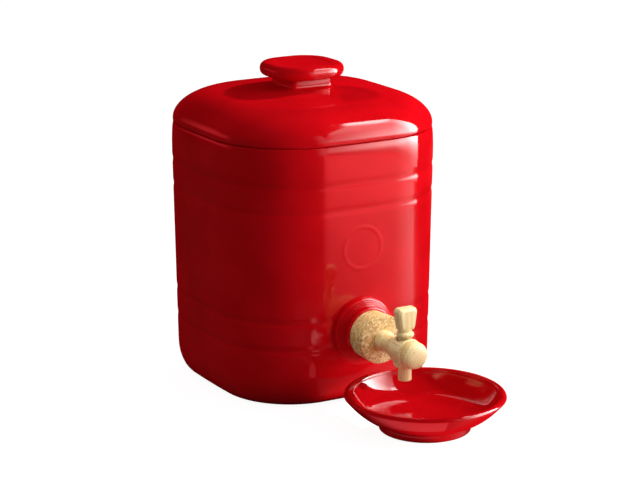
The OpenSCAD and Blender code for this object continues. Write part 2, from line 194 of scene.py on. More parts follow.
def settle(piece, body, slot, *nodes):
    """Smooths a finished piece, gives it its body and hides the nodes that it stands for; its slot is not
    used.
    """
    piece.data.polygons.foreach_set("use_smooth", [True] * len(piece.data.polygons))
    piece.data.set_sharp_from_angle(angle=SMOOTH_TO)
    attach(piece, body)
    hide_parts(*nodes)
    print(piece.name, "has", len(piece.data.polygons), "faces and rides on", body)


print("edges up to", round(math.degrees(SMOOTH_TO)), "degrees are shaded smooth")

# %% [markdown]
# ## The crock
# The crock is cast in one piece: a rounded heel, sides that lean out a little, two pairs of soft
# grooves, a round rim, and inside it a hollow with a coved floor. The stack runs up the outside,
# over the rim and down the inside, so the wall has its true thickness wherever the lid is lifted.
# Rings lie close together only where a groove or the plain ring on the front needs them.

# %% Crock wall
HEEL_W, HEEL_H, COVE_R, RIM_R, RIM_ROLL = 12.0, 23.5, 16.0, 1.75, 22.0
GROOVE_W, GROOVE_D, GROOVE_CORNER = 9.0, 0.3, 0.5
GROOVE_ZS = (44.7, 65.6, 147.5, 166.7)
FRONT_RING_R, FRONT_RING_W, FRONT_RING_RISE, FRONT_RING_Z = 18.25, 5.2, 0.16, 117.5
FRONT_POINTS, WALL_LEVELS, GROOVE_LEVELS, FRONT_RING_LEVELS = 96, 24, 13, 66
ABOVE_HEEL, PAST_RING, LEVEL_GAP, BELOW_RIM, ABOVE_COVE = 4, 0.5, 1, 12, 8


def hump(s):
    """A soft bump, 1 in the middle and 0 from -1 and 1 outwards."""
    return (1 + np.cos(math.pi * np.clip(s, -1, 1))) / 2


def groove_share(z):
    """How much of a groove's full depth there is at a height."""
    return sum(hump((z - middle) / (GROOVE_W / 2)) for middle in GROOVE_ZS)


def leaning(points):
    """Moves a profile's points in as far as the wall leans at their heights."""
    return [(lean_at(z) + x, z) for x, z in points]


outside = leaning(arc((HEEL_W, HEEL_H), (HEEL_W, HEEL_H), 270, 180, 22))
levels = set(np.round(np.linspace(HEEL_H + ABOVE_HEEL, GROOVE_ZS[-1], WALL_LEVELS), 2))
fine = [(middle, GROOVE_W / 2, GROOVE_LEVELS) for middle in GROOVE_ZS]
fine.append((FRONT_RING_Z, FRONT_RING_R + PAST_RING, FRONT_RING_LEVELS))
for middle, reach, count in fine:
    levels = {z for z in levels if abs(z - middle) > reach + LEVEL_GAP}
    levels |= set(np.round(np.linspace(middle - reach, middle + reach, count), 3))
outside += leaning([(GROOVE_D * groove_share(z), z) for z in sorted(levels)])
rim = leaning(arc((RIM_R, CROCK_H - RIM_ROLL), (RIM_R, RIM_ROLL), 180, 90, 26))
rim += arc((WALL_T - RIM_R, CROCK_H - RIM_R), (RIM_R, RIM_R), 90, 0, 6)
inner_zs = np.linspace(CROCK_H - BELOW_RIM, FLOOR_T + COVE_R + ABOVE_COVE, 12)
inside = leaning([(WALL_T, z) for z in inner_zs])
inside += leaning(arc((WALL_T + COVE_R, FLOOR_T + COVE_R), (COVE_R, COVE_R), 180, 270, 14))
wall = [(x, GROOVE_CORNER * groove_share(z), z) for x, z in outside]
wall += [(x, 0.0, z) for x, z in rim + inside]
outlines = [squared(HALF_W - x, CORNER_R - x + rounder, FRONT_POINTS) for x, rounder, _ in wall]
points, faces = stack(outlines, [z for _, _, z in wall])
print("wall rings:", len(wall))

# %% [markdown]
# Above the tap hole sits a plain raised ring with soft flanks, pressed into the wall by its mould. The
# wall's points there are close together, so the ring is made by moving them outwards. It rises about
# half as far as in the part's source, because the photograph shows it only faintly.

# %% Plain ring
FRONT_DEPTH = 3
far = np.hypot(points[:, 0], points[:, 2] - FRONT_RING_Z)
on_front = (points[:, 1] < -(HALF_W - SIDE_LEAN - FRONT_DEPTH)) & (far < FRONT_RING_R)
ring_rise = FRONT_RING_RISE * hump((far - FRONT_RING_R + FRONT_RING_W / 2) / (FRONT_RING_W / 2))
points[:, 1] -= on_front * ring_rise
crock = solid("crock", (points, faces))
print("points moved for the ring:", int(on_front.sum()))

# %% [markdown]
# The tap hole has a collar of the same clay, so it is joined to the wall: a thick ridge at each end and
# three thin ones between, each smaller than the one behind it. Its root flares a little, because a
# glaze fills every sharp inner corner. The hole is tapered like the cork that plugs it.

# %% Collar and tap hole
COLLAR_R, COLLAR_LEN, RIDGES, STEP_W, BUNG_FIT = 24.8, 12.5, 5, 0.9, 0.1
THICK_L, THICK_R, THIN_R = 4.4, 2.0, 0.81
ROOT_R, ROOT_OUT, ROOT_DEPTH = 1.6, 1.0, 6
BUNG_R, BUNG_WIDENS = 16.6, 1.7
HOLE_PAST_WALL, HOLE_PAST_COLLAR, COLLAR_SEGMENTS = 2, 1, 160


def bung_r(out):
    """The tapered bung's radius at a distance from the side."""
    return BUNG_R + BUNG_WIDENS * (out - BUNG_IN) / (BUNG_OUT - BUNG_IN)


thin_l = (COLLAR_LEN - 2 * THICK_L) / (RIDGES - 2)
ridges = [(THICK_L, THICK_R, 0), *[(thin_l, THIN_R, -90)] * (RIDGES - 2), (THICK_L, THICK_R, -45)]
root_r = COLLAR_R + ROOT_R
profile = [(0, -ROOT_DEPTH), (root_r, -ROOT_DEPTH), (root_r, ROOT_OUT - ROOT_R)]
profile += arc((root_r, ROOT_OUT), (ROOT_R, ROOT_R), 270, 180, 6)
start = 0.0
for i, (length, bulge, turn) in enumerate(ridges):
    ridge_r = COLLAR_R - (THICK_R + (i - 1) * STEP_W if i else 0)
    profile += arc((ridge_r - bulge, start + length / 2), (bulge, length / 2), turn, 90, 12)
    start += length
profile += [(0, COLLAR_LEN)]
collar = solid("collar", turned_skin(profile, COLLAR_SEGMENTS), ALONG_TAP)
hole_span = (-WALL_T - HOLE_PAST_WALL, COLLAR_LEN + HOLE_PAST_COLLAR)
hole_radii = [bung_r(out) + BUNG_FIT for out in hole_span]
knife(crock, "UNION", collar)
knife(crock, "DIFFERENCE", drill("tap_hole", hole_span, hole_radii, COLLAR_SEGMENTS, ALONG_TAP))
settle(crock, "crock", "red_glaze", "crock_body")

# %% [markdown]
# ## The lid
# The lid is a low cushion of clay: an upright edge, a round shoulder, then a slow rise to a squared
# neck and a flat knob with round edges. A ring below drops inside the rim and keeps it in place.
# Going round one closed stack, from the hollow underneath over the edge to the knob, gives it a real
# thickness when it is lifted off.

# %% Sizes of the lid
SEAT_GAP, LID_INSET, EDGE_H, EDGE_R = 0.3, 1.2, 2.2, 1.6
SHOULDER_W, SHOULDER_H, CROWN, LID_T = 29.5, 18.5, 7.4, 7.0
UNDER_R, UNDER_FALL = 6, 0.02
FLANGE_H, FLANGE_T, FLANGE_FIT, FLANGE_EDGE, FLANGE_ROOT, FLANGE_TOP = 9.0, 5.0, 1.0, 1, 0.5, 0.6
NECK_HALF, NECK_CORNER, NECK_H, NECK_FILLET = 17.0, 3.0, 7.6, 2.0
TOP_GAP, CREASE_GAPS = 4, (3, 0.8, 0.25)
KNOB_HALF, KNOB_CORNER, KNOB_T, KNOB_EDGE = 29.5, 24.0, 10.0, 4.6
KNOB_BORDER, KNOB_DISH, DISH_W = 5.0, 0.6, 2.4
SEAT_Z = CROCK_H + SEAT_GAP
LID_HALF, LID_CORNER = HALF_W - LID_INSET, CORNER_R - LID_INSET
SHOULDER_Z = SEAT_Z + EDGE_H
SLOPE = CROWN / (LID_HALF - NECK_HALF)
NECK_Z = SHOULDER_Z + SHOULDER_H + CROWN
KNOB_Z = NECK_Z + NECK_H
TOP_Z = KNOB_Z + KNOB_T
print("the lid's top is at", round(TOP_Z, 1), "mm")

# %% [markdown]
# Three kinds of rings meet in the lid. Those of the dome shrink in every direction, those of the edge
# and the ring below follow the crock's wall, and those of neck and knob keep an even distance from
# their outline. Between the dome and the neck the corners go over from one kind to the other.


# %% Lid
def dome_rings(points):
    """Rings of the dome at insets and heights, smaller in every direction as they are set in."""
    shares = [((LID_HALF - inset) / LID_HALF, z) for inset, z in points]
    return [(squared(LID_HALF * s, LID_CORNER * s), z) for s, z in shares]


def wall_rings(points):
    """Rings at an even distance inside the crock's widest outline."""
    return [(squared(HALF_W - inset, CORNER_R - inset), z) for inset, z in points]


def offset_rings(half, corner, points):
    """Rings at an even distance from an outline with this half width and corner."""
    return [(squared(x, corner + x - half), z) for x, z in points]


flange_out = WALL_T + FLANGE_FIT
flange_in = flange_out + FLANGE_T
low_z = SEAT_Z - FLANGE_H
edge_z = low_z + FLANGE_EDGE
edge_radii, root_radii = (FLANGE_EDGE, FLANGE_EDGE), (FLANGE_ROOT, FLANGE_ROOT)
under_radii = (SHOULDER_W - flange_in + LID_INSET, SHOULDER_H)
rings = dome_rings([(LID_HALF - r, NECK_Z - LID_T - UNDER_FALL * r) for r in (UNDER_R, NECK_HALF)])
rings += dome_rings([(x, SHOULDER_Z - LID_T + z + SLOPE * x)
                     for x, z in arc((SHOULDER_W, 0), under_radii, 90, 180, 18)])
rings += wall_rings(arc((flange_in - FLANGE_EDGE, edge_z), edge_radii, 0, -90, 5))
rings += wall_rings(arc((flange_out + FLANGE_EDGE, edge_z), edge_radii, -90, -180, 5))
rings += wall_rings([(flange_out, SEAT_Z - FLANGE_TOP)])
rings += wall_rings(arc((flange_out - FLANGE_ROOT, SEAT_Z - FLANGE_ROOT), root_radii, 0, 90, 3))
rings += wall_rings(arc((LID_INSET + EDGE_R, SEAT_Z + EDGE_R), (EDGE_R, EDGE_R), -90, -180, 8))
rings += dome_rings([(x, SHOULDER_Z + z + SLOPE * x)
                     for x, z in arc((SHOULDER_W, 0), (SHOULDER_W, SHOULDER_H), 180, 90, 40)])
top_half, base_half = LID_HALF - SHOULDER_W, NECK_HALF + NECK_FILLET
top_corner, base_corner = LID_CORNER * top_half / LID_HALF, NECK_CORNER + NECK_FILLET
slope_halves = [*np.linspace(top_half - TOP_GAP, base_half + CREASE_GAPS[0], 9)]
slope_halves += [base_half + gap for gap in CREASE_GAPS[1:]]
for half in slope_halves:
    corner = np.interp(half, (base_half, top_half), (base_corner, top_corner))
    rings.append((squared(half, corner), SHOULDER_Z + SHOULDER_H + SLOPE * (LID_HALF - half)))
for z, start in ((NECK_Z + NECK_FILLET, 270), (KNOB_Z - NECK_FILLET, 180)):
    fillet = arc((base_half, z), (NECK_FILLET, NECK_FILLET), start, start - 90, 8)
    rings += offset_rings(NECK_HALF, NECK_CORNER, fillet)
for z, start in ((KNOB_Z + KNOB_EDGE, 270), (TOP_Z - KNOB_EDGE, 0)):
    edge = arc((KNOB_HALF - KNOB_EDGE, z), (KNOB_EDGE, KNOB_EDGE), start, start + 90, 10)
    rings += offset_rings(KNOB_HALF, KNOB_CORNER, edge)
dish_half = KNOB_HALF - KNOB_EDGE - KNOB_BORDER
dish = [(dish_half - DISH_W * t, TOP_Z - KNOB_DISH * (1 - math.cos(math.pi * t)) / 2)
        for t in np.linspace(0, 1, 8)]
rings += offset_rings(KNOB_HALF, KNOB_CORNER, dish)
lid = solid("lid_with_knob", stack([r for r, _ in rings], [z for _, z in rings]))
settle(lid, "lid", "red_glaze", "lid")

# %% [markdown]
# ## The cork bung
# The bung is a tapered plug of pressed cork crumbs with a hole for the tap's shank. It is turned as a
# tube, and its skin is then pushed in by a fraction of a millimetre, crumb by crumb, since cut cork is
# never quite true. Two pairs of crossed waves stand for the crumbs.

# %% Cork bung
SHANK_PAST, SHANK_R, SHANK_WIDENS, SHANK_FIT = 7.0, 5.3, 1.2, 0.08
BUNG_EDGE, EDGE_REACH, INNER_FACE_R, FACE_OUT, FACE_IN = 0.9, 1.4, 8, 2, 0.6
CRUMB_DEPTH, END_DEPTH, SKIN_FROM = 0.05, 0.3, 0.4
CRUMB_WAVES = [(1.0, (1.9, 2.3, 1.7), 0.0, (-2.1, 1.4, 2.6)),
               (0.6, (4.3, -3.9, 3.1), 1.0, (2.7, 4.9, -3.7))]
shank_end = BUNG_IN - SHANK_PAST


def shank_r(out):
    """The tapered shank's radius at a distance from the side."""
    return SHANK_R + SHANK_WIDENS * (out - shank_end) / (BUNG_OUT - shank_end)


def tube(profile, segments):
    """A closed lathe profile that never meets the axis."""
    points, faces, n = [], [], len(profile)
    for r, out in profile:
        points += [(x, y, out) for x, y in circle(r, segments)]
    for i in range(n):
        for j in range(segments):
            a, b, k = i * segments, ((i + 1) % n) * segments, (j + 1) % segments
            faces.append([a + j, a + k, b + k, b + j])
    return np.array(points), faces


in_r, out_r = bung_r(BUNG_IN), bung_r(BUNG_OUT)
edge_radii = (BUNG_EDGE, BUNG_EDGE)
profile = [(shank_r(o) + SHANK_FIT, o) for o in np.linspace(BUNG_OUT, BUNG_IN, 8)]
profile += [(r, BUNG_IN) for r in np.linspace(INNER_FACE_R, in_r - BUNG_EDGE, 7)]
profile += arc((in_r - BUNG_EDGE, BUNG_IN + BUNG_EDGE), edge_radii, 285, 345, 3)
profile += [(bung_r(o), o) for o in np.linspace(BUNG_IN + EDGE_REACH, BUNG_OUT - EDGE_REACH, 44)]
profile += arc((out_r - BUNG_EDGE, BUNG_OUT - BUNG_EDGE), edge_radii, 0, 90, 6)
profile += [(r, BUNG_OUT) for r in np.linspace(out_r - FACE_OUT, shank_r(BUNG_OUT) + FACE_IN, 16)]
points, faces = tube(profile, 176)
radial = np.hypot(points[:, 0], points[:, 1])
crumb = sum(share * np.sin(points @ first + shift) * np.sin(points @ second)
            for share, first, shift, second in CRUMB_WAVES)
outer = (radial > shank_r(BUNG_OUT) + SKIN_FROM) & (points[:, 2] > COLLAR_LEN)
pushed = CRUMB_DEPTH * outer * (1 + crumb)
points[:, :2] *= (1 - pushed / np.maximum(radial, 1))[:, None]
points[:, 2] -= pushed * (points[:, 2] > BUNG_OUT - END_DEPTH)
bung = solid("bung_of_cork", (points, faces), ALONG_TAP)
settle(bung, "tap", "cork", "cork_bung")

# %% [markdown]
# ## The tap
# The tap is turned from one pale stick: a tapered shank, a bead against the cork, a grooved ring, a
# round head and a flattened ball. A short boss carries the key down to its spout. The barrel lies
# along the tap's axis, the boss stands upright, and the two are joined before the key's hole is bored.

# %% Tap barrel
BEAD_R, BEAD_L, STEM_R, RING_R, RING_L, RING_GAP, RING_GROOVE = 7.7, 8.0, 6.5, 8.1, 5.4, 1.2, 0.7
HEAD_R, HEAD_BACK, HEAD_FRONT, HEAD_EDGE, HEAD_STEP = 10.2, 7.6, 6.8, 1.2, 0.5
BALL_R, BALL_L, BALL_NECK_R, BALL_POWER = 9.8, 12.0, 5.0, 2.6
SHANK_ROUND, SHANK_FROM = 1.2, 3
HEAD_TOP = TAP_Z + HEAD_R
head_from, head_to = KEY_OUT - HEAD_BACK, KEY_OUT + HEAD_FRONT
ring_to = head_from - RING_GAP
ring_from = ring_to - RING_L
ball_from = -math.degrees(math.acos(BALL_NECK_R / BALL_R))
ball_at = head_to - math.sin(math.radians(ball_from)) * BALL_L / 2


def flat_end(a):
    """A point of the ball's outer half, flatter than a circle would be."""
    power = 2 / BALL_POWER
    return BALL_R * max(math.cos(a), 0) ** power, ball_at + BALL_L / 2 * math.sin(a) ** power


shank_round, head_round = (SHANK_ROUND, SHANK_ROUND), (HEAD_EDGE, HEAD_EDGE)
bead_radii = (BEAD_R - STEM_R, BEAD_L / 2)
ring_radii = (RING_R - STEM_R - RING_GROOVE, RING_L / 4)
barrel = [(0, shank_end)]
barrel += arc((shank_r(shank_end) - SHANK_ROUND, shank_end + SHANK_ROUND), shank_round, 270, 360, 5)
barrel += [(shank_r(o), o) for o in np.linspace(shank_end + SHANK_FROM, BUNG_OUT, 8)]
barrel += arc((STEM_R, BUNG_OUT + BEAD_L / 2), bead_radii, -90, 90, 16)
barrel += [(STEM_R, ring_from)]
for middle in (ring_from + RING_L / 4, ring_to - RING_L / 4):
    barrel += arc((STEM_R + RING_GROOVE, middle), ring_radii, -90, 90, 8)
barrel += [(STEM_R + HEAD_STEP, head_from)]
barrel += arc((HEAD_R - HEAD_EDGE, head_from + HEAD_EDGE), head_round, -90, 0, 6)
barrel += arc((HEAD_R - HEAD_EDGE, head_to - HEAD_EDGE), head_round, 0, 90, 6)
barrel += arc((0, ball_at), (BALL_R, BALL_L / 2), ball_from, 0, 10)
barrel += [flat_end(a) for a in np.linspace(0, math.pi / 2, 31)[1:]]
tap = solid("turned_tap", turned_skin(barrel, 120), ALONG_TAP)
print("the tap reaches", round(-FRONT_Y + ball_at + BALL_L / 2, 1), "mm before the crock's middle")

# %% [markdown]
# The boss is a short round block under the head. A well from above takes the key and its cork sleeve,
# a narrower way lets the spout out below, and a small hole along the shank brings the vinegar.

# %% Boss and bores
PLUG_R, KEY_FIT, SLEEVE_T, FLOW_R = 4.8, 0.08, 1.3, 2.5
SLEEVE_IN, SLEEVE_OUT = PLUG_R + KEY_FIT, PLUG_R + KEY_FIT + SLEEVE_T
BOSS_DROP, BOSS_R, BOSS_ROUND, BOSS_LIP, SLEEVE_SEAT = 12, 8.5, 4.6, 0.9, 5.0
KEY_SEGMENTS, FLOW_SEGMENTS, PAST_END = 96, 48, 1
BOSS_Z = TAP_Z - BOSS_DROP
boss_low = SLEEVE_IN + BOSS_LIP
boss = [(0, BOSS_Z)]
boss += arc((boss_low, BOSS_Z + BOSS_ROUND), (BOSS_R - boss_low, BOSS_ROUND), -90, 0, 12)
boss += [(BOSS_R, TAP_Z), (0, TAP_Z)]
well_r = SLEEVE_OUT + KEY_FIT
bores = [
    ("key_well", (BOSS_Z + SLEEVE_SEAT, HEAD_TOP + PAST_END), (well_r, well_r), KEY_SEGMENTS, DOWN_KEY),
    ("key_way", (BOSS_Z - PAST_END, TAP_Z), (SLEEVE_IN, SLEEVE_IN), KEY_SEGMENTS, DOWN_KEY),
    ("flow", (shank_end - PAST_END, KEY_OUT), (FLOW_R, FLOW_R), FLOW_SEGMENTS, ALONG_TAP),
]
knife(tap, "UNION", solid("boss", turned_skin(boss, KEY_SEGMENTS), DOWN_KEY))
knife(tap, "DIFFERENCE", *[drill(*bore) for bore in bores])
settle(tap, "tap", "boxwood", "tap_body")

# %% [markdown]
# ## The key
# The key is turned too, as spout, plug, collar and neck, with a hole up the spout that turns off to one
# side. Closed, as here, that side hole looks across the tap, and a quarter turn opens it.

# %% Key
SPOUT_DROP, SPOUT_LIP, SPOUT_EDGE = 9.6, 0.5, 0.6
COLLAR_GAP, COLLAR_H, KEY_COLLAR_R, COLLAR_STEP, PLUG_TOP = 0.3, 4.2, 6.3, 0.9, 0.4
PADDLE_GAP, NECK_SHARE, NECK_INTO = 1.2, 0.95, 2
SPOUT_Z = BOSS_Z - SPOUT_DROP
COLLAR_Z = HEAD_TOP + COLLAR_GAP
collar_top = COLLAR_Z + COLLAR_H
paddle_z = collar_top + PADDLE_GAP
neck_r, neck_top, bead = PLUG_R * NECK_SHARE, paddle_z + NECK_INTO, COLLAR_H / 2
lip_radii, edge_radii = (SPOUT_LIP, SPOUT_LIP), (SPOUT_EDGE, SPOUT_EDGE)
plug = [(0, TAP_Z), (FLOW_R, TAP_Z), (FLOW_R, SPOUT_Z + SPOUT_LIP)]
plug += arc((FLOW_R + SPOUT_LIP, SPOUT_Z + SPOUT_LIP), lip_radii, 180, 270, 3)
plug += arc((PLUG_R - SPOUT_EDGE, SPOUT_Z + SPOUT_EDGE), edge_radii, 270, 360, 4)
plug += [(PLUG_R, COLLAR_Z - PLUG_TOP), (KEY_COLLAR_R - COLLAR_STEP, COLLAR_Z)]
plug += arc((KEY_COLLAR_R - bead, COLLAR_Z + bead), (bead, bead), -65, 60, 12)
plug += [(neck_r, collar_top), (neck_r, neck_top), (0, neck_top)]
key = solid("key_with_spout", turned_skin(plug, KEY_SEGMENTS), DOWN_KEY)
across_key = Matrix.Translation((0, KEY_Y * MM, TAP_Z * MM)) @ Matrix.Rotation(math.pi / 2, 4, "Y")
knife(key, "DIFFERENCE", drill("port", (0, 2 * PLUG_R), (FLOW_R, FLOW_R), FLOW_SEGMENTS, across_key))
print("the spout ends", round(SPOUT_Z, 1), "mm above the table")

# %% [markdown]
# The paddle on top is carved flat. It starts as an eight-sided outline with cut corners, wider above
# than below, is bevelled all round so that its edges catch the light softly, and joins the neck.

# %% Paddle
PADDLE_W, PADDLE_T, PADDLE_H, PADDLE_BEVEL = 16.0, 9.6, 16.4, 1.8
PADDLE_SOFT, SOFT_FROM, SOFT_STEPS = 0.7, math.radians(12), 4
PADDLE_SIDE = [(0.33, 0.0), (0.4, 0.16), (0.5, 0.84), (0.4, 1.0)]


def paddle_face(bevel):
    """The outline across the paddle, as (sideways, upwards), smaller by the bevel all round."""
    wide, high = PADDLE_W - 2 * bevel, PADDLE_H - 2 * bevel
    both = PADDLE_SIDE + [(-x, y) for x, y in PADDLE_SIDE[::-1]]
    return [(x * wide, paddle_z + bevel + y * high) for x, y in both]


def paddle_skin():
    """Four outlines from front to back, joined all round and closed at both ends."""
    depth, inner = PADDLE_T / 2, PADDLE_T / 2 - PADDLE_BEVEL
    layers = [(-depth, PADDLE_BEVEL), (-inner, 0), (inner, 0), (depth, PADDLE_BEVEL)]
    points = [(x, y, z) for y, bevel in layers for x, z in paddle_face(bevel)]
    n, last = 2 * len(PADDLE_SIDE), len(layers) - 1
    faces = [[i * n + j, i * n + (j + 1) % n, (i + 1) * n + (j + 1) % n, (i + 1) * n + j]
             for i in range(last) for j in range(n)]
    faces += [list(range(n))[::-1], list(range(last * n, (last + 1) * n))]
    return np.array(points), faces


paddle = solid("paddle", paddle_skin(), DOWN_KEY)
soft = paddle.modifiers.new("soft_edges", "BEVEL")
soft.width, soft.segments = PADDLE_SOFT * MM, SOFT_STEPS
soft.limit_method, soft.angle_limit = "ANGLE", SOFT_FROM
keep_result(paddle)
knife(key, "UNION", paddle)
settle(key, "key", "boxwood", "tap_key")

# %% [markdown]
# ## The saucer
# The saucer is thrown: a foot ring, a flaring underside, a thick round rim and a broad shallow bowl.
# A single profile turned on the lathe gives it, with many segments because its rim is a mirror.

# %% Saucer
SAUCER_R, SAUCER_H, FOOT_R, FOOT_H, SAUCER_T, FOOT_W = 58.0, 26.5, 33.0, 6.5, 5.0, 5.0
HOLLOW_D, HOLLOW_IN, HOLLOW_R, FOOT_IN_R, FOOT_OUT_R = 3, 2, 1, 0.5, 0.8
FLARE_R, FLARE_DROP, FLARE_POWER, BOWL_POWER = 2.2, 2, 1.7, 5.5
SAUCER_X, SAUCER_PAST_KEY = 9.5, 12.5
SAUCER_AT = (SAUCER_X, KEY_Y - SAUCER_PAST_KEY)
rim_half = SAUCER_T / 2
rim_mid, bowl_top = SAUCER_R - rim_half, SAUCER_H - rim_half
bowl_r, hollow_z = rim_mid - rim_half, FOOT_H - HOLLOW_D
bowl_floor = hollow_z + SAUCER_T
inner_r = FOOT_R - FOOT_W
hollow_r = inner_r - HOLLOW_IN
profile = [(0, hollow_z), (hollow_r, hollow_z)]
profile += arc((hollow_r, hollow_z - HOLLOW_R), (HOLLOW_R, HOLLOW_R), 90, 0, 4)
profile += arc((inner_r, FOOT_IN_R), (FOOT_IN_R, FOOT_IN_R), 180, 270, 3)
profile += arc((FOOT_R - FOOT_OUT_R, FOOT_OUT_R), (FOOT_OUT_R, FOOT_OUT_R), 270, 360, 5)
profile += arc((FOOT_R + FLARE_R, FOOT_H - FLARE_DROP), (FLARE_R, FLARE_R), 180, 100, 7)
profile += [(FOOT_R + (SAUCER_R - FOOT_R) * t, FOOT_H + (bowl_top - FOOT_H) * t ** FLARE_POWER)
            for t in np.linspace(0.12, 0.97, 38)]
profile += arc((rim_mid, bowl_top), (rim_half, rim_half), 0, 180, 20)
profile += [(bowl_r * t, bowl_floor + (bowl_top - bowl_floor) * t ** BOWL_POWER)
            for t in np.linspace(0.985, 0, 64)]
saucer_place = Matrix.Translation((SAUCER_AT[0] * MM, SAUCER_AT[1] * MM, 0))
saucer = solid("saucer", turned_skin(profile, 224), saucer_place)
settle(saucer, "saucer", "red_glaze", "drip_saucer")

# %% [markdown]
# ## Writing finishes as sums
# A finish is a little formula over the surface. The class below wraps a node's socket, so that
# formulas can be written with plain operators, and each operator adds its Math node.


# %% Sockets with operators
class Wire:
    """A socket that can be added, multiplied and compared."""

    def __init__(self, finish, socket):
        self.finish, self.socket = finish, socket

    def maths(self, operation, *values):
        return self.finish.node("ShaderNodeMath", {"operation": operation}, dict(enumerate(values)))

    def __add__(self, other):
        return self.maths("ADD", self, other)

    def __radd__(self, other):
        return self.maths("ADD", other, self)

    def __sub__(self, other):
        return self.maths("SUBTRACT", self, other)

    def __rsub__(self, other):
        return self.maths("SUBTRACT", other, self)

    def __mul__(self, other):
        return self.maths("MULTIPLY", self, other)

    def __rmul__(self, other):
        return self.maths("MULTIPLY", other, self)

    def __truediv__(self, other):
        return self.maths("DIVIDE", self, other)

    def __rtruediv__(self, other):
        return self.maths("DIVIDE", other, self)

    def __pow__(self, other):
        return self.maths("POWER", self, other)

    def __lt__(self, other):
        return self.maths("LESS_THAN", self, other)

    def between(self, low, high):
        """0 below low, 1 above high, smooth in between."""
        return self.finish.node("ShaderNodeMapRange", {"interpolation_type": "SMOOTHSTEP"},
                                {"Value": self, "From Min": low, "From Max": high})

    def window(self, rise, fall):
        """Rises smoothly from 0 to 1 over one span and falls back to 0 over another."""
        return self.between(*rise) * (1 - self.between(*fall))


# %% [markdown]
# A second class makes every other node, from its type, its settings, and values or links for its
# sockets. It starts with an empty material and ends in one surface.


# %% Finish maker
class Finish:
    """A procedural material under construction."""

    def __init__(self, name):
        self.material = bpy.data.materials.new(name)
        self.material.use_nodes = True
        self.tree = self.material.node_tree
        self.tree.nodes.clear()

    def node(self, kind, settings=None, sockets=None, output=0):
        """Makes any node and gives one of its outputs, if it has any."""
        made = self.tree.nodes.new(kind)
        for key, value in (settings or {}).items():
            if key == "stops":
                ramp = made.color_ramp.elements
                while len(ramp) < len(value):
                    ramp.new(0.5)
                for stop, (place, colour) in zip(ramp, value):
                    stop.position, stop.color = place, colour
            else:
                setattr(made, key, value)
        for key, value in (sockets or {}).items():
            if isinstance(value, Wire):
                self.tree.links.new(value.socket, made.inputs[key])
            else:
                made.inputs[key].default_value = value
        return Wire(self, made.outputs[output]) if made.outputs else None

    def place(self, stretch=(1, 1, 1)):
        """Points of the piece itself, in metres, stretched along some axes."""
        where = self.node("ShaderNodeTexCoord", output="Object")
        return self.node("ShaderNodeMapping", {"vector_type": "POINT"}, {"Vector": where, "Scale": stretch})

    def axis(self, vector, name):
        return self.node("ShaderNodeSeparateXYZ", None, {"Vector": vector}, name)

    def vector(self, operation, *values, output=0):
        return self.node("ShaderNodeVectorMath", {"operation": operation}, dict(enumerate(values)), output)

    def noise(self, where, scale, detail, output=0, **more):
        sockets = {"Vector": where, "Scale": scale, "Detail": detail, **more}
        return self.node("ShaderNodeTexNoise", None, sockets, output)

    def blend(self, mask, first, second):
        """Mixes two colours, whose sockets on this node come after those for numbers and vectors."""
        return self.node("ShaderNodeMix", {"data_type": "RGBA"}, {0: mask, 6: first, 7: second}, output=2)

    def bump(self, height, depth, strength):
        sockets = {"Height": height, "Distance": depth, "Strength": strength}
        return self.node("ShaderNodeBump", None, sockets)

    def shade(self, **sockets):
        """Ends the material in one surface, whose sockets are named with _ for each space."""
        named = {key.replace("_", " "): value for key, value in sockets.items()}
        surface = self.node("ShaderNodeBsdfPrincipled", None, named)
        self.node("ShaderNodeOutputMaterial", None, {"Surface": surface})
        return self.material


def wear(piece, material):
    piece.data.materials.clear()
    piece.data.materials.append(material)
    print(piece.name, "wears", material.name)


# %% [markdown]
# ## Red glaze
# The glaze is a clear, glassy coat over a deep red. It is a touch darker where it pools in the grooves,
# and faintly uneven like the skin of an orange. The foot that meets the table is wiped clean before
# firing, so there the bare clay shows and the coat is left off. Seen at a flat angle the coat mirrors
# less, or the lid would turn white from behind; one spot before the lid's neck keeps its full shine.

# %% Red glaze
GLAZE_DEEP, GLAZE_RED = (0.60, 0.0022, 0.0055, 1), (0.68, 0.0030, 0.0075, 1)
GLAZE_POOL, POOL_SHARE = (0.30, 0.0008, 0.002, 1), 0.12
CLAY_DARK, CLAY_PALE = (0.42, 0.25, 0.15, 1), (0.60, 0.41, 0.28, 1)
CROCK_FOOT, OTHER_FOOT, FACING_DOWN = 0.4, 0.5, -0.6
PEEL_DEPTH, PEEL_STRENGTH, COAT_ROUGH, COAT_IOR = 0.00012, 0.25, 0.06, 1.5
FLAT_FROM, FLAT_TO, FLAT_LOSS = 0.56, 0.75, 0.96
SHINE_AT, SHINE_FULL, SHINE_END = (0.021, -0.037, 0.2215), 0.015, 0.028


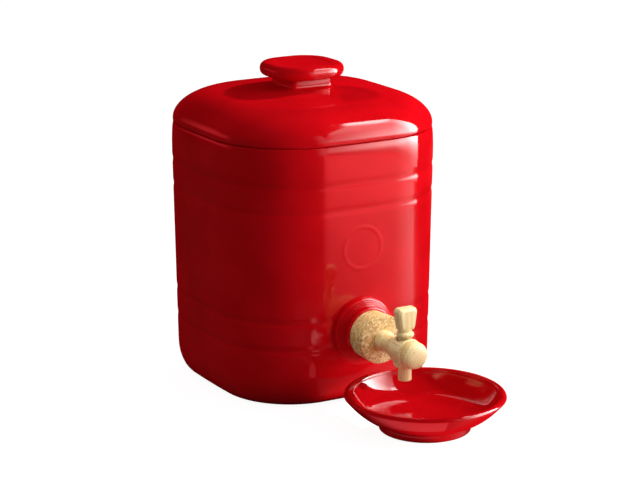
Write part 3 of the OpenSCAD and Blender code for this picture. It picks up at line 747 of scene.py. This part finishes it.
def red_glaze(name, bare_below, pools=(), shine_at=None):
    glaze = Finish(name)
    where = glaze.place()
    height = glaze.axis(where, "Z")
    cloud = glaze.noise(where, 26.0, 3.0)
    peel = glaze.noise(where, 170.0, 2.0)
    red = glaze.blend(cloud.between(0.35, 0.65), GLAZE_DEEP, GLAZE_RED)
    if pools:
        offsets = [(height - z * MM) / MM for z in pools]
        pooled = sum(1 / (1 + offset * offset) for offset in offsets)
        red = glaze.blend(pooled * POOL_SHARE, red, GLAZE_POOL)
    up = glaze.axis(glaze.node("ShaderNodeNewGeometry", output="Normal"), "Z")
    bare = (height < bare_below * MM) * (up < FACING_DOWN)
    clay = glaze.blend(glaze.noise(where, 900.0, 4.0), CLAY_DARK, CLAY_PALE)
    facing = glaze.node("ShaderNodeLayerWeight", None, {"Blend": 0.5}, "Facing")
    dulled = FLAT_LOSS * facing.between(FLAT_FROM, FLAT_TO)
    if shine_at is not None:
        away = glaze.vector("DISTANCE", where, shine_at, output="Value")
        dulled = dulled * away.between(SHINE_FULL, SHINE_END)
    return glaze.shade(
        Base_Color=glaze.blend(bare, red, clay), Roughness=0.5, Specular_IOR_Level=0.0,
        Coat_Weight=(1 - dulled) * (1 - bare), Coat_Roughness=COAT_ROUGH, Coat_IOR=COAT_IOR,
        Normal=glaze.bump(peel, PEEL_DEPTH, PEEL_STRENGTH))


wear(crock, red_glaze("glaze_on_crock", CROCK_FOOT, GROOVE_ZS))
wear(lid, red_glaze("glaze_on_lid", low_z + OTHER_FOOT, (SEAT_Z,), SHINE_AT))
wear(saucer, red_glaze("glaze_on_saucer", OTHER_FOOT))

# %% [markdown]
# ## Cork
# The bung is pressed from crumbs of cork, one or two millimetres across, each a slightly different
# tan, with dark bark between some of them and fine pores all over. Cells of a Voronoi pattern make
# the crumbs, and noise makes the pores. The sleeve round the key is of the same cork.

# %% Cork
CORK_TANS = [(0.0, (0.62, 0.36, 0.11, 1)), (0.3, (0.84, 0.54, 0.185, 1)),
             (0.65, (0.92, 0.66, 0.27, 1)), (1.0, (0.95, 0.77, 0.41, 1))]
SEAM_BROWN, PIT_BROWN = (0.40, 0.21, 0.07, 1), (0.34, 0.17, 0.06, 1)
BARK_BROWN = (0.22, 0.095, 0.03, 1)
CRUMB_SCALE, CRUMB_BEND = 640.0, (0.0012, 0.0012, 0.0012)
CORK_DEPTH, CORK_STRENGTH = 0.00030, 0.9


def pressed_cork():
    cork = Finish("pressed_cork")
    where = cork.place()
    bent = cork.noise(where, 420.0, 2.0, output="Color")
    crumbs = {"Vector": cork.vector("MULTIPLY_ADD", bent, CRUMB_BEND, where), "Scale": CRUMB_SCALE}
    tint = cork.node("ShaderNodeTexVoronoi", None, crumbs, "Color")
    tone = cork.node("ShaderNodeSeparateColor", None, {"Color": tint})
    edge = cork.node("ShaderNodeTexVoronoi", {"feature": "DISTANCE_TO_EDGE"}, crumbs)
    seam = 1 - edge.between(0.02, 0.13)
    pit = cork.noise(where, 2300.0, 3.0).between(0.56, 0.70)
    speck = cork.noise(where, 780.0, 3.0, Roughness=0.6).between(0.575, 0.645)
    colour = cork.node("ShaderNodeValToRGB", {"stops": CORK_TANS}, {"Fac": tone})
    for mask, brown in ((seam * 0.30, SEAM_BROWN), (pit * 0.30, PIT_BROWN), (speck * 0.72, BARK_BROWN)):
        colour = cork.blend(mask, colour, brown)
    height = 1.0 - seam * 0.3 - pit * 0.4 - speck * 0.7
    return cork.shade(Base_Color=colour, Roughness=0.82 - tone * 0.1,
                      Normal=cork.bump(height, CORK_DEPTH, CORK_STRENGTH))


cork_finish = pressed_cork()
wear(bung, cork_finish)
wear(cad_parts["key_sleeve"], cork_finish)

# %% [markdown]
# ## Pale turned wood
# The tap and its key are of a pale, close-grained wood such as box or beech. Growth rings run round a
# centre a little off the stick, so the ball shows them as arcs, and along the stick they stretch into
# straight grain with short darker flecks.

# %% Turned wood
WOOD_PALE, WOOD_RING = (0.90, 0.74, 0.41, 1), (0.76, 0.53, 0.21, 1)
WOOD_FIBRE, WOOD_FLECK = (0.64, 0.40, 0.16, 1), (0.50, 0.28, 0.10, 1)
GRAIN_STRETCH, RING_DRIFT, RING_TURNS = 0.045, 1.8, 3.6
WOOD_DEPTH, WOOD_STRENGTH = 0.00012, 0.5
TAP_HEART, KEY_HEART = (1.8, 0, TAP_Z - 1.2), (-7.0, KEY_Y + 11.0, 0)


def turned_wood(name, along, heart):
    wood = Finish(name)
    stretch = tuple(GRAIN_STRETCH if axis == along else 1.0 for axis in "XYZ")
    across = tuple(0.0 if axis == along else 1.0 for axis in "XYZ")
    fibre_at = wood.place(stretch)
    off = wood.vector("SUBTRACT", wood.place(), tuple(c * MM for c in heart))
    far = wood.vector("LENGTH", wood.vector("MULTIPLY", off, across), output="Value")
    drift = wood.noise(fibre_at, 130.0, 3.0)
    fibre = wood.noise(fibre_at, 1500.0, 4.0)
    fleck = wood.noise(fibre_at, 900.0, 1.0)
    turns = (far / MM + drift * RING_DRIFT) * RING_TURNS
    band = turns.maths("SINE", turns) * 0.5 + 0.5
    colour = wood.blend(band * 0.6 + drift * 0.4, WOOD_PALE, WOOD_RING)
    colour = wood.blend(fibre.between(0.45, 0.75) * 0.45, colour, WOOD_FIBRE)
    colour = wood.blend(fleck.between(0.62, 0.70) * 0.55, colour, WOOD_FLECK)
    return wood.shade(Base_Color=colour, Roughness=0.42 + fibre * 0.18,
                      Normal=wood.bump(fibre * 0.6 + band * 0.4, WOOD_DEPTH, WOOD_STRENGTH))


wear(tap, turned_wood("wood_of_tap", "Y", TAP_HEART))
wear(key, turned_wood("wood_of_key", "Z", KEY_HEART))

# %% [markdown]
# ## Studio
# A shiny glaze shows two things at once: it is lit like any red surface, and it mirrors the studio. In
# the studio of the photograph these come from different places, so each sheet below says which rays
# see it. Floor, table and lights are stage, not part of the object.

# %% Helpers for the stage
scene = bpy.context.scene
WHITE, BLACK = (1, 1, 1, 1), (0, 0, 0, 1)


def stage_sheet(name, corners, material, camera=False, mirrored=False, bounces=False, shadow=True):
    """A flat sheet of the stage, seen only by the kinds of rays that are asked for."""
    mesh = bpy.data.meshes.new(name)
    mesh.from_pydata(corners, [], [list(range(len(corners)))])
    mesh.materials.append(material)
    sheet = bpy.data.objects.new(name, mesh)
    scene.collection.objects.link(sheet)
    sheet.visible_camera, sheet.visible_glossy, sheet.visible_diffuse = camera, mirrored, bounces
    sheet.visible_shadow = shadow
    return sheet


def stage_paper(name, grey, rough, glow=0.0, colour=WHITE):
    """A plain grey paper that may also glow, in one colour or in the colours that a function gives."""
    paper = Finish(name)
    lit = colour(paper) if callable(colour) else colour
    return paper.shade(Base_Color=(grey, grey, grey, 1), Roughness=rough,
                       Emission_Color=lit, Emission_Strength=glow)


def glow_paper(name, glow, colour=WHITE):
    """A black sheet that only glows."""
    return stage_paper(name, 0.0, 1.0, glow, colour)


def flat_corners(left, low, right, high):
    """A rectangle from one corner to the opposite one, in its own plane."""
    return [(left, low, 0), (right, low, 0), (right, high, 0), (left, high, 0)]


def around(wide, high):
    """A rectangle round the middle of its plane."""
    return flat_corners(-wide / 2, -high / 2, wide / 2, high / 2)


def upright_corners(one_end, other_end, high):
    """A sheet that stands on edge between two places on the floor."""
    return [(*one_end, 0), (*other_end, 0), (*other_end, high), (*one_end, high)]


def stand(piece, place, *axes):
    """Puts a thing at a place with its own X, Y and Z along three directions."""
    piece.matrix_world = Matrix.Translation(place) @ Matrix(axes).transposed().to_4x4()


# %% [markdown]
# The floor is white paper for the camera alone. What the pot mirrors instead is a dark table, with a lit
# fan in front on the right, where the tall light falls on it. The fan begins softly on its left, is red
# there and whiter to the right, and grows brighter with the distance from the crock. A second lit
# patch lies behind on the right.

# %% Floor and table
FLOOR, TABLE_GREY, TABLE_ROUGH, TABLE_Z, LIT_Z = 9.0, 0.04, 0.6, -0.0010, -0.0005
FAN_TIP, FAN_GLOW, FAN_REACH = (-0.024, -0.088), 4.1, 0.9
FAN_LEFT, FAN_FULL, FAN_RISE, FAN_BRIGHT = (math.radians(a) for a in (13, 22, 36, 68))
FAN_RED, FAN_WHITE = (0.85, 0.080, 0.090, 1), (0.50, 0.38, 0.38, 1)
FAN_CORNERS = [(-0.03, -0.09, 0), (0.10, -2.61, 0), (0.909, -2.61, 0),
               (0.70, -0.32, 0), (0.163, -0.09, 0)]
BEHIND_GLOW, BEHIND_PINK = 2.2, (0.9, 0.40, 0.41, 1)
BEHIND_X, BEHIND_Y = ((0.10, 0.35), (0.65, 0.95)), ((0.12, 0.40), (0.8, 1.3))


def fan_light(paper):
    where = paper.place()
    across = paper.axis(where, "X") - FAN_TIP[0]
    forward = FAN_TIP[1] - paper.axis(where, "Y")
    turn = across.maths("ARCTAN2", across, forward)
    outward = (across * across + forward * forward) ** 0.5 / FAN_REACH
    colour = paper.blend(turn.between(FAN_RISE, FAN_BRIGHT), FAN_RED, FAN_WHITE)
    return paper.blend(turn.between(FAN_LEFT, FAN_FULL) * outward, BLACK, colour)


def behind_light(paper):
    where = paper.place()
    x, y = paper.axis(where, "X"), paper.axis(where, "Y")
    return paper.blend(x.window(*BEHIND_X) * y.window(*BEHIND_Y), BLACK, BEHIND_PINK)


def table_paper(name, *glow):
    return stage_paper(name, TABLE_GREY, TABLE_ROUGH, *glow)


floor_corners = around(2 * FLOOR, 2 * FLOOR)
stage_sheet("white_floor", floor_corners, stage_paper("white_paper", 0.25, 1.0, 0.93), camera=True)
table = stage_sheet("dark_table", floor_corners, table_paper("dark_paper"), mirrored=True, bounces=True)
table.location.z = TABLE_Z
fan = stage_sheet("lit_table", FAN_CORNERS, table_paper("lit_paper", FAN_GLOW, fan_light), mirrored=True)
fan.location.z = LIT_Z
behind_corners = flat_corners(BEHIND_X[0][0], BEHIND_Y[0][0], BEHIND_X[1][1], BEHIND_Y[1][1])
behind_paper = table_paper("lit_paper_behind", BEHIND_GLOW, behind_light)
behind = stage_sheet("lit_table_behind", behind_corners, behind_paper, mirrored=True)
behind.location.z = LIT_Z
print("floor laid,", 2 * FLOOR, "m across")

# %% [markdown]
# The tall light is what the right side mirrors. It is brightest low down and near its back edge, and
# fades towards the viewer. Its height and its distance from that edge are its own coordinates, so the
# fade is one short sum. A weaker sheet closes the studio where the tall light ends.

# %% Tall light
LIGHT_TURN, LIGHT_TOP, LIGHT_LONG, LIGHT_GLOW = math.radians(96), 1.40, 2.4, 25.0
LIGHT_EDGE = Vector((0.658, -0.226, 0))
FADES_ALONG = [(0.42, (0.25, 1.6)), (0.08, (1.2, 3.4)), (0.36, (0.06, 0.34))]
LOSS_UP, FADE_UP, FOOT_LEAST, FADE_FOOT = 0.74, (0.25, 1.15), 0.10, (0.02, 0.20)
TOP_SHARE, TOP_UP, TOP_ALONG = 0.35, (1.08, 1.2), (0.12, 0.3)
FAR_FROM, FAR_TO, FAR_TOP, FAR_GLOW = 0.10, 1.05, 2.4, 1.0


def tall_fade(paper):
    where = paper.place()
    out, height = paper.axis(where, "X"), paper.axis(where, "Y")
    along = sum(share * (1 - out.between(*span)) for share, span in FADES_ALONG)
    upward = 1 - LOSS_UP * height.between(*FADE_UP)
    foot = FOOT_LEAST + (1 - FOOT_LEAST) * height.between(*FADE_FOOT)
    top_strip = TOP_SHARE * height.between(*TOP_UP) * (1 - out.between(*TOP_ALONG))
    return paper.blend(along * upward * foot + top_strip, BLACK, WHITE)


def far_fade(paper):
    return paper.blend(paper.axis(paper.place(), "X").between(FAR_FROM, FAR_TO), BLACK, WHITE)


tall_light = stage_sheet("tall_light", flat_corners(0, 0, LIGHT_LONG, LIGHT_TOP),
                         glow_paper("tall_glow", LIGHT_GLOW, tall_fade), mirrored=True, shadow=False)
onward = Vector((-math.cos(LIGHT_TURN), -math.sin(LIGHT_TURN), 0))
inward = Vector((-math.sin(LIGHT_TURN), math.cos(LIGHT_TURN), 0))
stand(tall_light, LIGHT_EDGE, onward, (0, 0, 1), inward)
far_end = LIGHT_EDGE + onward * LIGHT_LONG
stage_sheet("far_light", upright_corners((FAR_FROM, far_end.y), (far_end.x, far_end.y), FAR_TOP),
            glow_paper("far_glow", FAR_GLOW, far_fade), mirrored=True, shadow=False)
print("tall light stands", round(LIGHT_EDGE.length, 2), "m away")

# %% [markdown]
# Two red sheets finish the mirror images. One behind on the left gives the left side its faint sheen,
# and a piece of a ring on the table, under the saucer's left edge, is the glint on its underside.

# %% Sheen and glint
SHEEN, GLINT = (1.0, 0.05, 0.06, 1), (1.0, 0.16, 0.18, 1)
STRIP_ENDS, STRIP_HIGH = ((-1.45, 0.45), (-0.60, 1.38)), 0.65
STRIP_X, STRIP_Z = ((-1.45, -1.20), (-0.85, -0.60)), ((0.08, 0.30), (0.36, STRIP_HIGH))
STRIP_GLOW, GLINT_GLOW = 2.2, 1.3
GLINT_RADII, GLINT_TURNS, GLINT_Z = (56, 40), (165, 260), -0.2


def strip_fade(paper):
    where = paper.place()
    x, z = paper.axis(where, "X"), paper.axis(where, "Z")
    return paper.blend(x.window(*STRIP_X) * z.window(*STRIP_Z), BLACK, SHEEN)


stage_sheet("back_strip", upright_corners(*STRIP_ENDS, STRIP_HIGH),
            glow_paper("strip_glow", STRIP_GLOW, strip_fade), mirrored=True, shadow=False)
glint_sides = zip(GLINT_RADII, (GLINT_TURNS, GLINT_TURNS[::-1]))
glint_corners = [(x * MM, y * MM, GLINT_Z * MM)
                 for r, turns in glint_sides for x, y in arc(SAUCER_AT, (r, r), *turns, 11)]
stage_sheet("saucer_glint", glint_corners, glow_paper("glint_glow", GLINT_GLOW, GLINT), mirrored=True)
print("the glint has", len(glint_corners), "corners")

# %% [markdown]
# Eight more sheets only light the pieces. A small strong lamp on the right throws the knob's clear
# shadow on the lid, an upright card close to the front brightens the front side, and weaker ones lift
# the tap, the crock's heel, the knob and the far left. Two of them light only some pieces: the front
# card leaves the saucer out, and one sheet lights wood and cork alone. The dim room gives a little
# light from everywhere; the glaze must not mirror it, or the deep red would turn grey.

# %% Lamps and room
WOODEN = (bung, tap, key)
UPRIGHT = (crock, lid, *WOODEN)
ROOM_GREY = 0.37
LAMPS = [
    ("small_lamp", (1.0, -0.123, 0.93), (0, 0, 0.15), (0.07, 0.07), 740.0, ()),
    ("front_card", (0.11, -0.245, 0.275), (0.02, -0.09, 0.235), (0.09, 0.26), 6.5, UPRIGHT),
    ("tap_card", (0.14, -0.33, 0.07), (0.0, -0.15, 0.06), (0.12, 0.09), 5.4, ()),
    ("table_glow", (-0.01, -0.262, 0.0004), (-0.01, -0.262, -1.0), (0.24, 0.14), 1.05, ()),
    ("heel_glow", (0.03, -0.112, 0.0004), (0.03, -0.112, -1.0), (0.12, 0.05), 1.6, ()),
    ("knob_card", (0, 0, 0.268), (0, 0, 0), (0.05, 0.05), 0.5, ()),
    ("tap_fill", (-0.10, -0.30, 0.80), (0.0, -0.14, 0.06), (0.30, 0.30), 8.0, WOODEN),
    ("left_sheet", (-1.45, 0.39, 0.40), (0, 0, 0.15), (0.8, 0.8), 1.2, ()),
]
for name, place, aim, size, glow, lit_pieces in LAMPS:
    sheet = stage_sheet(name, around(*size), glow_paper(name + "_glow", glow), bounces=True, shadow=False)
    way = Vector(place) - Vector(aim)
    sheet.matrix_world = Matrix.Translation(place) @ way.to_track_quat("Z", "Y").to_matrix().to_4x4()
    if lit_pieces:
        receivers = bpy.data.collections.new("lit_by_" + name)
        for piece in lit_pieces:
            receivers.objects.link(piece)
        sheet.light_linking.receiver_collection = receivers

world = bpy.data.worlds.new("dim_room")
world.use_nodes = True
world.node_tree.nodes["Background"].inputs["Color"].default_value = (ROOM_GREY, ROOM_GREY, ROOM_GREY, 1)
scene.world = world
world.cycles_visibility.glossy = False
print("lamps:", ", ".join(lamp[0] for lamp in LAMPS))

# %% [markdown]
# ## Camera
# The camera stands a little to the left and above, with a long lens, as the outline of the crock in
# the photograph tells. It looks slightly past the crock's middle, so that the crock stands left of the
# picture's middle as it does there.

# %% Camera
SENSOR, IMAGE_W, FOCAL_PIXELS, SEES_TO = 36.0, 640.0, 2099.85, 50
VIEW_TURN, VIEW_TILT, VIEW_FAR = math.radians(-29.8077), math.radians(15.2053), 1.60437
MIDDLE, AIM_RIGHT, AIM_UP = Vector((0, 0, 0.099)), 0.01369, 0.00370
lens = bpy.data.cameras.new("camera")
lens.sensor_width, lens.lens = SENSOR, FOCAL_PIXELS * SENSOR / IMAGE_W
lens.clip_end = SEES_TO
camera = bpy.data.objects.new("camera", lens)
scene.collection.objects.link(camera)
right = Vector((math.cos(VIEW_TURN), math.sin(VIEW_TURN), 0))
back_to = Vector((right.y, -right.x, 0)) * math.cos(VIEW_TILT) + Vector((0, 0, math.sin(VIEW_TILT)))
eye = MIDDLE + back_to * VIEW_FAR
aim = MIDDLE + right * AIM_RIGHT + back_to.cross(right) * AIM_UP
look = (aim - eye).normalized()
side = look.cross(Vector((0, 0, 1))).normalized()
stand(camera, eye, side, side.cross(look), -look)
scene.camera = camera
scene.view_settings.view_transform = "Standard"
print("camera stands", round(VIEW_FAR, 3), "m away with a lens of", round(lens.lens, 1), "mm")
